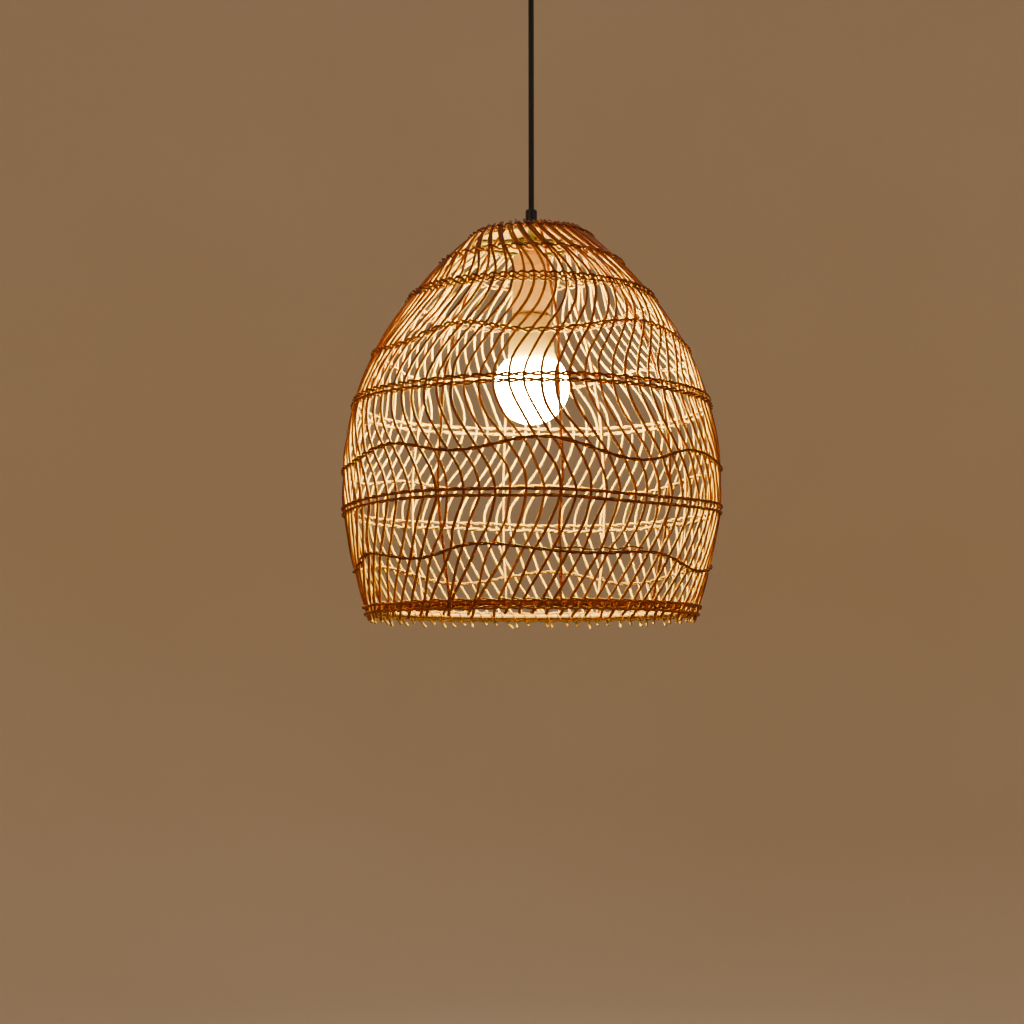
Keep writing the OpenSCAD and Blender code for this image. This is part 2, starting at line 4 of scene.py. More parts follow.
import bpy
import numpy as np
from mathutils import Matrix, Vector


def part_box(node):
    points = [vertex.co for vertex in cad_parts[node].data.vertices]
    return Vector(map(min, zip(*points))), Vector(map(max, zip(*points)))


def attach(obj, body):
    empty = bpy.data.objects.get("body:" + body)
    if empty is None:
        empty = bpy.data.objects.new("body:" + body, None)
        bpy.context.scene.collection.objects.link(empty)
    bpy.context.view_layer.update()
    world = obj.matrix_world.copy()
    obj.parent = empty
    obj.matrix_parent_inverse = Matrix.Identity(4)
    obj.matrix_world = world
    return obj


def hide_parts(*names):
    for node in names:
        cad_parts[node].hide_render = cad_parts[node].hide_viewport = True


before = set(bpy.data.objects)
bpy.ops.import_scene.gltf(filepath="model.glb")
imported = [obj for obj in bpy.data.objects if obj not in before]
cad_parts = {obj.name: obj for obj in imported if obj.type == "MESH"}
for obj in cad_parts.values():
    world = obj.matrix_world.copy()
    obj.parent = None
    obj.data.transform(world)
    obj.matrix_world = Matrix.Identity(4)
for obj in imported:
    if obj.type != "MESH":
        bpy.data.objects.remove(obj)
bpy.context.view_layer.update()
RANDOM = np.random.default_rng(17)


def box_middle(node):
    """Middle of a CAD node's box."""
    low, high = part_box(node)
    return (low + high) / 2


# ---- Shade, measured on the frame -------------------------------------------------------------

# Shares of the shade's height at which the woven rows lie, as in the CAD
ROW_SHARE = {"a": 0.08, "b": 0.175, "c": 0.325, "d": 0.46, "e": 0.625, "f": 0.74, "g": 0.88}
# The level rows' boxes are centred on their levels, which gives the height of the shade and its top edge
SHADE_H = (box_middle("row_a").z - box_middle("row_f").z) / (ROW_SHARE["f"] - ROW_SHARE["a"])
TOP_Z = box_middle("row_a").z + ROW_SHARE["a"] * SHADE_H
ROW = {name: share * SHADE_H for name, share in ROW_SHARE.items()}
WIDEST_DEPTH = 0.280
# Radii over the rods at the top edge, at the widest place and at the rim
RING_TO_RODS = 0.0037
BEYOND_RIGHT_RODS = 0.0002
HOOP_TO_RODS = 0.0034
TOP_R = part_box("top_ring")[1].x + RING_TO_RODS
MAX_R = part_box("stakes_right")[1].x + BEYOND_RIGHT_RODS
RIM_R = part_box("rim_hoop")[1].x + HOOP_TO_RODS
# How full the shoulder is above the widest place, and how late the sides tuck in below it
SHOULDER_POWER = 2.35
TUCK_POWER = 1.5

ROD_COUNT = 80
ROD_R = 0.0015
STRAND_R = 0.00105
RIB_COUNT = 10
RIB_R = 0.0015
RIB_AZIMUTH = 8
# The hoop lies inside the rods, with the rim's inner strands between, and a little below the rim
HOOP_R = 0.0033
HOOP_GAP = 0.0020
HOOP_OFF = -(ROD_R + HOOP_R + HOOP_GAP)
HOOP_DEPTH = SHADE_H + 0.0009
# Distance between the two rows of rows D and F
DOUBLE_PITCH = 0.0064

# Azimuth in degrees that a rod has gained at rows B, D and F and at the rim
LEAN_B = 21
LEAN_D = 4
LEAN_F = 18.5
LEAN_RIM = 3.5
# Below row F the rods straighten slowly at first
RIM_LEAN_POWER = 1.3

# Crests and troughs of the wandering rows: azimuth in degrees, then rise in metres
WAVES = {
    "c": [(-80, -0.002), (-52, -0.007), (-27, 0.007), (0, -0.005), (44, 0.014), (78, 0.002),
          (102, -0.004), (135, 0.006), (165, -0.005), (195, 0.005), (228, -0.004), (255, 0.004)],
    "e": [(-72, -0.004), (-46, 0.008), (-22, -0.004), (2, 0.007), (31, -0.012), (54, 0.004),
          (80, -0.003), (110, 0.002), (139, -0.008), (176, 0.005), (208, -0.001), (225, 0.003),
          (252, -0.008)],
    "g": [(-79, -0.008), (-60, 0.006), (-37, -0.003), (-17, 0.009), (15, 0), (37, 0.003),
          (64, -0.011), (100, 0.003), (142, -0.011), (173, 0.005), (208, -0.010), (240, 0.004)],
    # The level rows are made by hand too, so they wander by a millimetre or two
    "d": [(-80, 0.001), (-32, -0.001), (20, 0.0005), (60, 0.001), (130, -0.002), (190, 0.001),
          (240, -0.002)],
    "f": [(-79, -0.001), (-37, 0.002), (0, 0.0005), (38, -0.003), (90, 0.001), (150, -0.001),
          (200, 0.002), (250, -0.001)],
    "flat": [(-90, 0), (90, 0)],
}


def ease(t):
    """Smooth step from 0 to 1."""
    return (1 - np.cos(np.pi * np.clip(t, 0, 1))) / 2


def shade_radius(depth):
    """Radius over the rods at a depth below the top edge: a full shoulder, then a gentle tuck to the rim."""
    depth = np.asarray(depth, float)
    upper = TOP_R + (MAX_R - TOP_R) * (1 - np.maximum(1 - depth / WIDEST_DEPTH, 0) ** SHOULDER_POWER)
    below = np.maximum(depth - WIDEST_DEPTH, 0) / (SHADE_H - WIDEST_DEPTH)
    return np.where(depth < WIDEST_DEPTH, upper, MAX_R - (MAX_R - RIM_R) * below ** TUCK_POWER)


def on_shade(azimuth, depth, off=0.0):
    """Points at azimuths in degrees and depths, set off outwards from the rods' middle surface.

    Azimuth 0 faces the viewer, and azimuths grow towards +X.
    """
    azimuth, depth, off = np.broadcast_arrays(np.asarray(azimuth, float), depth, off)
    step = 0.001
    slope = (shade_radius(depth + step) - shade_radius(depth - step)) / (2 * step)
    norm = np.hypot(1, slope)
    radius = shade_radius(depth) - ROD_R + off / norm
    angle = np.radians(azimuth)
    return np.stack(
        [radius * np.sin(angle), -radius * np.cos(angle), TOP_Z - depth + off * slope / norm], -1
    )


def lean(depth):
    """Azimuth in degrees that every rod has gained at a depth."""
    depth = np.asarray(depth, float)
    to_b = LEAN_B * np.sin(np.pi / 2 * np.minimum(depth / ROW["b"], 1))
    to_d = (LEAN_D - LEAN_B) * ease((depth - ROW["b"]) / (ROW["d"] - ROW["b"]))
    to_f = (LEAN_F - LEAN_D) * ease((depth - ROW["d"]) / (ROW["f"] - ROW["d"]))
    to_rim = (LEAN_RIM - LEAN_F) * (np.maximum(depth - ROW["f"], 0) / (SHADE_H - ROW["f"])) ** RIM_LEAN_POWER
    return to_b + to_d + to_f + to_rim


def wave(name, azimuth):
    """Rise of a row at azimuths in degrees, eased from each crest or trough to the next."""
    turns = WAVES[name]
    places = np.array([turn[0] for turn in turns] + [turns[0][0] + 360], float)
    rises = np.array([turn[1] for turn in turns] + [turns[0][1]], float)
    a = (np.asarray(azimuth, float) - places[0]) % 360 + places[0]
    i = np.clip(np.searchsorted(places, a, side="right") - 1, 0, len(places) - 2)
    t = (a - places[i]) / (places[i + 1] - places[i])
    return rises[i] + (rises[i + 1] - rises[i]) * ease(t)


# ---- Rods: where each one runs ---------------------------------------------------------------

# Distance between the middles of two touching rods
PAIR_PITCH = 2 * ROD_R + 0.0001
SPACING = 360 / ROD_COUNT
# Azimuth midway between the last pair of rods and the first
FIRST_AZIMUTH = -45
# A hand-made weave: each rod strays a little at each of these shares of the shade's height
STRAY_SHARES = np.array([
    0, 0.08, 0.175, 0.25, 0.325, 0.40, 0.46, 0.54, 0.625, 0.68, 0.74, 0.81, 0.88, 1, 1.05,
])
STRAY = RANDOM.normal(0, 1, (ROD_COUNT, len(STRAY_SHARES)))
# How far they stray, in degrees: hardly at all where a row holds them
STRAY_SIZE = np.array([0.1, 0.1, 0.35, 0.5, 0.4, 0.5, 0.35, 0.5, 0.4, 0.5, 0.35, 0.5, 0.5, 0.6, 0.8])
STRAY_LIMIT = 1.6
STRAY = np.clip(STRAY, -STRAY_LIMIT, STRAY_LIMIT) * STRAY_SIZE
# Some pairs of neighbours lean on each other at the rim
LEANING_RODS = (2, 4, 26, 47, 66)
LEANING_STRAY = 1.7
for leaning_rod in LEANING_RODS:
    STRAY[leaning_rod, -2:] = LEANING_STRAY
    STRAY[leaning_rod + 1, -2:] = -LEANING_STRAY


def stray(rod, depth):
    """Smooth sideways stray of one rod, in degrees."""
    share = np.asarray(depth, float) / SHADE_H
    i = np.clip(np.searchsorted(STRAY_SHARES, share, side="right") - 1, 0, len(STRAY_SHARES) - 2)
    t = ease((share - STRAY_SHARES[i]) / (STRAY_SHARES[i + 1] - STRAY_SHARES[i]))
    return STRAY[rod, i] + (STRAY[rod, i + 1] - STRAY[rod, i]) * t


def rod_azimuth(rod, depth):
    """Azimuth of a rod at depths; the rods run in touching pairs down to row A, then part evenly."""
    depth = np.asarray(depth, float)
    touching = np.degrees(PAIR_PITCH / 2 / shade_radius(np.minimum(depth, ROW["a"])))
    parted = ease((depth - ROW["a"]) / (ROW["b"] - ROW["a"]))
    half = touching + (SPACING / 2 - touching) * parted
    pair_middle = FIRST_AZIMUTH + SPACING * (2 * (rod // 2) + 1)
    return pair_middle + (half if rod % 2 else -half) + lean(depth) + stray(rod, depth)


# Times that a crossing is corrected for the row's rise there
CROSSING_STEPS = 6


def posts(level, turns="flat"):
    """Azimuths at which the rods cross a row, in order round the shade."""
    found = []
    for rod in range(ROD_COUNT):
        azimuth = float(rod_azimuth(rod, level))
        for _ in range(CROSSING_STEPS):
            azimuth = float(rod_azimuth(rod, level - wave(turns, azimuth)))
        found.append(azimuth)
    return np.array(found)


# ---- Mesh building ----------------------------------------------------------------------------

# A cut end reaches on by a share of the cane's radius, while the cane narrows to another share of it
END_REACH = 0.3
END_TAPER = 0.7
# The fibres of each cane start at a place of their own, up to this many metres along the texture
GRAIN_SHIFT = 5


def unit(vectors):
    """Vectors scaled to length 1."""
    return vectors / np.linalg.norm(vectors, axis=-1, keepdims=True)


def tubes(name, paths, radii, sides=8, closed=False):
    """One mesh of round tubes along paths, with the grain and a tone for each stored on its points.

    radii holds one array or number for each path. The grain is the way outwards from the Z axis, the way
    sideways and the way along the tube, in metres. Open ends are rounded off a little, as a cut cane is.
    """
    points, faces, grains, tones = [], [], [], []
    angle = 2 * np.pi * np.arange(sides) / sides
    start = 0
    for path, radius in zip(paths, radii):
        path = np.asarray(path, float)
        radius = np.broadcast_to(np.asarray(radius, float), len(path)).copy()
        if closed:
            ahead = np.roll(path, -1, 0) - np.roll(path, 1, 0)
        else:
            first, last = path[0] - path[1], path[-1] - path[-2]
            path = np.vstack([
                path[0] + unit(first) * radius[0] * END_REACH,
                path,
                path[-1] + unit(last) * radius[-1] * END_REACH,
            ])
            radius = np.concatenate([[radius[0] * END_TAPER], radius, [radius[-1] * END_TAPER]])
            ahead = np.gradient(path, axis=0)
        tangent = unit(ahead)
        from_axis = path * (1, 1, 0)
        u = unit(from_axis - np.sum(from_axis * tangent, -1, keepdims=True) * tangent)
        v = np.cross(tangent, u)
        sideways = radius[:, None] * np.sin(angle)
        outwards = radius[:, None] * np.cos(angle)
        ring = path[:, None] + outwards[..., None] * u[:, None] + sideways[..., None] * v[:, None]
        count = len(path)
        points.append(ring.reshape(-1, 3))
        run = np.concatenate([[0], np.cumsum(np.linalg.norm(np.diff(path, axis=0), axis=1))])
        along = run[:, None] + RANDOM.uniform(0, GRAIN_SHIFT)
        grain = np.stack([outwards, sideways, np.broadcast_to(along, outwards.shape)], -1)
        grains.append(grain.reshape(-1, 3))
        tones.append(np.full(count * sides, RANDOM.uniform(0, 1)))
        i = np.arange(count if closed else count - 1)[:, None]
        k = np.arange(sides)[None, :]
        near, far = start + i * sides, start + (i + 1) % count * sides
        after = (k + 1) % sides
        quads = np.stack(np.broadcast_arrays(near + k, near + after, far + after, far + k), -1)
        faces.extend(quads.reshape(-1, 4).tolist())
        if not closed:
            faces.append(list(range(start + sides - 1, start - 1, -1)))
            faces.append(list(range(start + (count - 1) * sides, start + count * sides)))
        start += count * sides
    return mesh_object(name, np.concatenate(points), faces, np.concatenate(grains), np.concatenate(tones))


def mesh_object(name, points, faces, grain=None, tone=None):
    """A mesh object in the scene, smooth, with its grain coordinates and tones if it has them."""
    mesh = bpy.data.meshes.new(name)
    mesh.from_pydata(np.asarray(points).tolist(), [], faces)
    mesh.polygons.foreach_set("use_smooth", [True] * len(mesh.polygons))
    if grain is not None:
        mesh.attributes.new("grain", "FLOAT_VECTOR", "POINT").data.foreach_set("vector", grain.ravel())
        mesh.attributes.new("tone", "FLOAT", "POINT").data.foreach_set("value", tone)
    mesh.update()
    made = bpy.data.objects.new(name, mesh)
    bpy.context.scene.collection.objects.link(made)
    return made


def dress(piece, body, material, slot, *nodes):
    """Gives a piece its material and the body it rides on, and hides the CAD nodes it stands for. The slot is not
    used.
    """
    piece.data.materials.append(material)
    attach(piece, body)
    if nodes:
        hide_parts(*nodes)
    return piece


# ---- Materials --------------------------------------------------------------------------------


# Places of the colour sockets on a Mix node
MIX_FACTOR, MIX_A, MIX_B, MIX_RESULT = 0, 6, 7, 2


class Shader:
    """A principled material whose colour, roughness and bump are built from a few kinds of node."""

    def __init__(self, name, **constants):
        self.material = bpy.data.materials.new(name)
        self.material.use_nodes = True
        self.nodes = self.material.node_tree.nodes
        self.links = self.material.node_tree.links
        self.surface = self.nodes["Principled BSDF"]
        for socket, value in constants.items():
            self.surface.inputs[socket.replace("_", " ")].default_value = value

    def node(self, kind, inputs=None, **settings):
        """A node of a kind, with sockets to link or constants for its inputs."""
        made = self.nodes.new(kind)
        for key, value in settings.items():
            setattr(made, key, value)
        for key, value in (inputs or {}).items():
            if isinstance(value, bpy.types.NodeSocket):
                self.links.new(value, made.inputs[key])
            else:
                made.inputs[key].default_value = value
        return made

    def stretched(self, source, scale):
        """Coordinates scaled by three factors, so that a texture runs along the piece."""
        return self.node("ShaderNodeMapping", {"Vector": source, "Scale": scale}).outputs["Vector"]

    def noise(self, vector, scale, detail=4.0, roughness=0.55):
        """Noise of 0 to 1."""
        return self.node("ShaderNodeTexNoise", {
            "Vector": vector, "Scale": scale, "Detail": detail, "Roughness": roughness,
        }).outputs["Fac"]

    def ramp(self, factor, *stops):
        """Colour ramp with (position, colour) stops."""
        made = self.node("ShaderNodeValToRGB", {"Fac": factor})
        elements = made.color_ramp.elements
        while len(elements) < len(stops):
            elements.new(0.5)
        for element, (position, colour) in zip(elements, stops):
            element.position = position
            element.color = (*colour, 1)
        return made.outputs["Color"]

    def mix(self, factor, first, second):
        """Colour mixed from two; each is a socket or a plain colour."""
        colours = [c if isinstance(c, bpy.types.NodeSocket) else (*c, 1) for c in (first, second)]
        inputs = {MIX_FACTOR: factor, MIX_A: colours[0], MIX_B: colours[1]}
        return self.node("ShaderNodeMix", inputs, data_type="RGBA").outputs[MIX_RESULT]

    def math(self, operation, first, second=0.0):
        """One sum on two values."""
        return self.node("ShaderNodeMath", {0: first, 1: second}, operation=operation).outputs[0]

    def total(self, *parts):
        """Sum of values, each with its weight."""
        weighted = [self.math("MULTIPLY", value, weight) for value, weight in parts]
        result = weighted[0]
        for value in weighted[1:]:
            result = self.math("ADD", result, value)
        return result

    def spread(self, factor, low, high):
        """Maps a factor of 0 to 1 onto a range."""
        return self.node("ShaderNodeMapRange", {"Value": factor, "To Min": low, "To Max": high}).outputs[0]

    def finish(self, colour, roughness=None, height=None, bump=0.3, distance=0.0004):
        """Links the colour, roughness and bump height to the surface and gives the material."""
        self.links.new(colour, self.surface.inputs["Base Color"])
        if roughness is not None:
            self.links.new(roughness, self.surface.inputs["Roughness"])
        if height is not None:
            made = self.node("ShaderNodeBump", {"Height": height, "Strength": bump, "Distance": distance})
            self.links.new(made.outputs["Normal"], self.surface.inputs["Normal"])
        return self.material


# Features of cane for each metre across it, across it and along it
FIBRES_PER_METRE = (900, 900, 22)
FINE_FIBRES_PER_METRE = (2600, 2600, 60)
PATCHES_PER_METRE = (60, 60, 14)
JOINTS_PER_METRE = 8.3
# A joint's ring, from full at its edge to nothing
JOINT_RING = ((0.0, (1, 1, 1)), (0.012, (0.55, 0.55, 0.55)), (0.03, (0, 0, 0)))
# Values of the mottling at which cane has its dark, middle and light colours
TONE_PLACES = (0.30, 0.55, 0.80)


def rattan(name, shaded_outer, lit_inner, turn=(-0.0011, 0.0)):
    """Cane with long fibres, a tone of its own for each rod, darker joints and scuffed patches.

    The first set of (dark, middle, light) colours is painted shade on the side of each cane facing away from the
    shade's axis, and the second is painted light on the side facing the bulb. turn is the way outwards across the
    cane, in metres, over which the one gives way to the other.
    """
    s = Shader(name, Specular_IOR_Level=0.35)
    grain = s.node("ShaderNodeAttribute", attribute_name="grain").outputs["Vector"]
    tone = s.node("ShaderNodeAttribute", attribute_name="tone").outputs["Fac"]
    fibres = s.noise(s.stretched(grain, FIBRES_PER_METRE), 1.0, 5.0, 0.6)
    patches = s.noise(s.stretched(grain, PATCHES_PER_METRE), 1.0, 3.0)
    fine = s.noise(s.stretched(grain, FINE_FIBRES_PER_METRE), 1.0, 2.0)
    way = s.node("ShaderNodeSeparateXYZ", {0: grain}).outputs
    shade = s.total((fibres, 0.40), (patches, 0.35), (tone, 0.34))
    # Painted shade on each cane's outward side, away from the bulb, and painted light on its inward side, facing it
    outer_shade_mask = s.node("ShaderNodeMapRange", {"Value": way["X"], "From Min": turn[0], "From Max": turn[1]}).outputs[0]
    colour = s.mix(outer_shade_mask, s.ramp(shade, *zip(TONE_PLACES, lit_inner)), s.ramp(shade, *zip(TONE_PLACES, shaded_outer)))
    # A joint is a thin dark ring every hand's breadth or so
    place = s.math("FRACT", s.total((way["Z"], JOINTS_PER_METRE), (patches, 0.35)))
    joint = s.ramp(place, *JOINT_RING)
    colour = s.mix(s.math("MULTIPLY", joint, 0.45), colour, [0.6 * c for c in shaded_outer[0]])
    height = s.math("ADD", s.total((fibres, 0.8), (fine, 0.35)), joint)
    rough = s.spread(patches, 0.42, 0.68)
    return s.finish(colour, rough, height, bump=0.5, distance=0.0003)


def plain_coordinates(s):
    """Coordinates of the object itself, in metres."""
    return s.node("ShaderNodeTexCoord").outputs["Object"]


def moulded(name, colour, rough=(0.35, 0.5), mottle=0.06, **constants):
    """Moulded plastic or coat: a fine orange peel, slight mottling and dulled patches."""
    s = Shader(name, **constants)
    place = plain_coordinates(s)
    cloud = s.noise(place, 35.0, 4.0)
    peel = s.noise(place, 1400.0, 2.0)
    low = [c * (1 - mottle) for c in colour]
    high = [min(1.0, c * (1 + mottle)) for c in colour]
    shade = s.ramp(cloud, (0.3, low), (0.7, high))
    return s.finish(shade, s.spread(cloud, *rough), peel, 0.12, 0.0001)


def metal(name, colour, rough=(0.25, 0.4), brushed=(20, 20, 900)):
    """Bare or plated metal with fine tool marks and a few dull spots."""
    s = Shader(name, Metallic=1.0)
    place = plain_coordinates(s)
    marks = s.noise(s.stretched(place, brushed), 1.0, 4.0)
    spots = s.noise(place, 90.0, 5.0, 0.7)
    shade = s.ramp(spots, (0.35, [c * 0.8 for c in colour]), (0.6, colour))
    return s.finish(shade, s.spread(marks, *rough), marks, 0.15, 0.0001)


def textile(name, colour):
    """Round cord with a tight braid of thread."""
    s = Shader(name, Roughness=0.8, Sheen_Weight=0.25, Sheen_Roughness=0.5)
    place = plain_coordinates(s)
    braid = s.node(
        "ShaderNodeTexWave", {"Vector": place, "Scale": 700.0, "Distortion": 2.0}, bands_direction="DIAGONAL"
    ).outputs["Fac"]
    fuzz = s.noise(place, 900.0, 3.0)
    weave = s.math("MULTIPLY", braid, s.spread(fuzz, 0.6, 1.0))
    shade = s.ramp(weave, (0.2, [c * 0.5 for c in colour]), (0.8, colour))
    return s.finish(shade, s.spread(fuzz, 0.7, 0.9), weave, 0.6, 0.0003)


def plywood(name, dark, light):
    """Bare plywood: long wavering grain lines across the face, and a soft sheen."""
    s = Shader(name, Specular_IOR_Level=0.3)
    place = plain_coordinates(s)
    lines = s.noise(s.stretched(place, (14, 160, 160)), 1.0, 6.0, 0.65)
    pores = s.noise(s.stretched(place, (90, 1500, 1500)), 1.0, 2.0)
    grain = s.total((lines, 0.8), (pores, 0.2))
    shade = s.ramp(grain, (0.38, dark), (0.62, light))
    return s.finish(shade, s.spread(pores, 0.5, 0.7), grain, 0.3, 0.0002)


def glowing(name, colour, light, strength):
    """Opal glass, lit from within."""
    s = Shader(name, Roughness=0.3, Emission_Color=(*light, 1), Emission_Strength=strength)
    cloud = s.noise(plain_coordinates(s), 14.0, 3.0)
    shade = s.ramp(cloud, (0.3, [c * 0.97 for c in colour]), (0.7, colour))
    return s.finish(shade, s.spread(cloud, 0.25, 0.35))


# Each kind of cane: painted shade on its outward side, then painted light on its inward side, facing the bulb
CANE = rattan(
    "rattan_cane",
    shaded_outer=((0.17, 0.030, 0.004), (0.33, 0.080, 0.012), (0.52, 0.17, 0.035)),
    lit_inner=((0.64, 0.375, 0.087), (0.80, 0.52, 0.135), (0.90, 0.65, 0.21)),
)
BARK = rattan(
    "rattan_bark",
    shaded_outer=((0.11, 0.017, 0.003), (0.21, 0.042, 0.007), (0.36, 0.095, 0.016)),
    lit_inner=((0.54, 0.295, 0.067), (0.72, 0.45, 0.116), (0.84, 0.58, 0.17)),
    turn=(-0.0011, -0.0004),
)
POLE = rattan(
    "rattan_pole",
    shaded_outer=((0.28, 0.055, 0.010), (0.42, 0.09, 0.018), (0.56, 0.15, 0.034)),
    lit_inner=((0.86, 0.60, 0.19), (0.90, 0.65, 0.25), (0.94, 0.71, 0.33)),
    turn=(-0.0033, -0.0019),
)
BLACK_COAT = moulded("black_coat", (0.018, 0.018, 0.018), (0.32, 0.5), 0.2)
BLACK_PLASTIC = moulded("black_moulding", (0.016, 0.015, 0.015), (0.4, 0.6), 0.2)
WHITE_PLASTIC = moulded("white_moulding", (0.78, 0.77, 0.72))
CREAM_PLASTIC = moulded("cream_moulding", (0.70, 0.43, 0.20), (0.3, 0.45), 0.05)
CHAMPAGNE_COAT = moulded("champagne_coat", (0.42, 0.27, 0.13), (0.4, 0.55), 0.05)
PORCELAIN = moulded("porcelain_glaze", (0.84, 0.83, 0.79), (0.1, 0.25), 0.03, Coat_Weight=0.5)
BROWN_CORE = moulded("brown_core", (0.16, 0.06, 0.02))
BLUE_CORE = moulded("blue_core", (0.03, 0.10, 0.42))
CLEAR_CORE = moulded("clear_core", (0.62, 0.58, 0.5))
BOARD = moulded("circuit_board", (0.03, 0.14, 0.06))
BLACK_GLASS = moulded("black_glass", (0.01, 0.01, 0.01), (0.08, 0.15))
ZINC = metal("zinc_steel", (0.62, 0.62, 0.60))
BRASS = metal("brass_sheet", (0.80, 0.58, 0.25))
NICKEL = metal("nickel_plate", (0.72, 0.70, 0.66), (0.15, 0.28))
ALUMINIUM = metal("coated_aluminium", (0.82, 0.82, 0.80), (0.4, 0.55))
PALE_WOOD = plywood("pale_wood", (0.50, 0.28, 0.10), (0.70, 0.45, 0.21))
SHEATH = textile("cord_sheath", (0.022, 0.020, 0.019))
OPAL = glowing("opal_glass", (0.95, 0.92, 0.86), (1.0, 0.84, 0.10), 320.0)

# ---- Camera and cord --------------------------------------------------------------------------

# The eye is level with a point below the shade and looks up a little
EYE_BELOW_TOP = 0.4788
EYE_DISTANCE = 1.835
EYE_RIGHT = -0.0208
LOOK_UP = math.radians(5.66)
LENS = 61.2
SENSOR_WIDTH = 36

camera = bpy.data.objects.new("camera", bpy.data.cameras.new("camera"))
bpy.context.scene.collection.objects.link(camera)
camera.location = (EYE_RIGHT, -EYE_DISTANCE, TOP_Z - EYE_BELOW_TOP)
camera.rotation_euler = (math.pi / 2 + LOOK_UP, 0, 0)
camera.data.sensor_width = SENSOR_WIDTH
camera.data.lens = LENS
camera.data.clip_start = 0.01
bpy.context.scene.camera = camera

CORD_D = 0.006
# Heights of the cord's route between its two ends, as in the CAD
CORD_HEIGHTS = [
    -0.050, -0.065, -0.080, -0.095, -0.110, -0.125, -0.140, -0.155, -0.170, -0.185, -0.200,
    -0.215, -0.230, -0.245, -0.260, -0.275,
]


def pendant_cord():
    """The straight cord from the ceiling grip's mouth into the lower grip."""
    low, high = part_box("pendant_cord")
    heights = [high.z, *CORD_HEIGHTS, low.z]
    curve = bpy.data.curves.new("hanging_cord", "CURVE")
    curve.dimensions = "3D"
    curve.bevel_depth = CORD_D / 2
    curve.bevel_resolution = 5
    curve.use_fill_caps = True
    spline = curve.splines.new("POLY")
    spline.points.add(len(heights) - 1)
    for point, height in zip(spline.points, heights):
        point.co = (0, 0, height, 1)
    piece = bpy.data.objects.new("hanging_cord", curve)
    bpy.context.scene.collection.objects.link(piece)
    dress(piece, "cord", SHEATH, "cord_sheath", "pendant_cord")


pendant_cord()

# ---- Weave ------------------------------------------------------------------------------------


def uneven(count, size, waves=7):
    """A smooth random factor near 1 along a cane, which strays from it by about the given size."""
    t = np.linspace(0, 1, count)
    phase = RANDOM.uniform(0, 2 * np.pi, waves)
    weight = RANDOM.normal(0, 1, waves) / np.sqrt(waves)
    total = sum(w * np.sin(2 * np.pi * (k + 1) * t + p) for k, (w, p) in enumerate(zip(weight, phase)))
    return 1 + size * total


def standing_rods():
    """Eighty canes from the top edge to the rim, bent back and forth round the shade."""
    steps = 100
    # Distances that the cut ends stand above the top edge and below the rim
    above_top, below_rim = (0.001, 0.0055), (0.0088, 0.0130)
    bulge_size, stack_size = 0.0004, 0.0004
    # Cut ends splay below the rim, fully so at this distance: sideways in degrees, and inwards or outwards
    splay_length, splay_aside, splay_out = 0.012, (-0.9, 0.9), (-0.001, 0.0008)
    paths, radii = [], []
    for rod in range(ROD_COUNT):
        top = -RANDOM.uniform(*above_top)
        end = SHADE_H + RANDOM.uniform(*below_rim)
        depth = np.linspace(top, end, steps)
        bulge = bulge_size * (uneven(steps, 1.0) - 1)
        # Above row A the two rods of a pair lie one a little outside the other
        stacked = stack_size * (1 if rod % 2 else -1) * (1 - ease(depth / ROW["a"]))
        below = np.maximum(depth - SHADE_H, 0) / splay_length
        splay = RANDOM.uniform(*splay_aside) * below
        azimuth = rod_azimuth(rod, depth) + splay
        paths.append(on_shade(azimuth, depth, bulge + stacked + RANDOM.uniform(*splay_out) * below))
        radii.append(ROD_R * RANDOM.uniform(0.9, 1.06) * uneven(steps, 0.035))
    piece = tubes("standing_rods", paths, radii, sides=8)
    dress(piece, "lamp", CANE, "rattan", "stakes_front", "stakes_right", "stakes_back", "stakes_left")


def twined_strands(level, turns="flat", by_pairs=False, radius=STRAND_R, flip=False, looseness=1.0):
    """Two strands that cross between the rods and pass them on either side, as closed paths.

    Loosely twined strands leave an eye between them in each gap between two rods.
    """
    places = posts(level, turns)
    if by_pairs:
        places = (places[0::2] + places[1::2]) / 2
    count = len(places)
    samples = 12 if by_pairs else 7
    # A power below 1 keeps the strands flat against a rod and crosses them quickly between two
    crossing_power = 0.45 if by_pairs else 0.7
    bumps = 15
    wander_size = 0.0002
    # A strand lies off the rod by this share of its own radius, so it is pressed in a little
    pressed = 0.93
    s = np.arange(count * samples) / samples
    azimuth = np.interp(s, np.arange(count + 1), np.append(places, places[0] + 360))
    turn = np.cos(np.pi * s)
    across = np.sign(turn) * np.abs(turn) ** crossing_power
    rise = np.sin(np.pi * s) * (-1 if flip else 1)
    wander = wander_size * (uneven(len(s), 1.0, bumps) - 1)
    reach = ROD_R + radius * pressed
    paths, radii = [], []
    for side in (1, -1):
        depth = level - wave(turns, azimuth) + side * radius * looseness * rise + wander
        paths.append(on_shade(azimuth, depth, side * reach * across))
        radii.append(radius * uneven(len(s), 0.06, bumps))
    return paths, radii


def woven_row(name, node, levels, turns="flat", **options):
    """One or more twined rows as one piece, each wound the other way from the last."""
    paths, radii = [], []
    for i, level in enumerate(levels):
        more_paths, more_radii = twined_strands(level, turns, flip=i % 2 == 1, **options)
        paths += more_paths
        radii += more_radii
    piece = tubes(name, paths, radii, sides=6, closed=True)
    dress(piece, "lamp", BARK, "rattan_bark", *([node] if node else []))


def double(level):
    """Depths of two rows, one on each side of a level."""
    return [level - DOUBLE_PITCH / 2, level + DOUBLE_PITCH / 2]


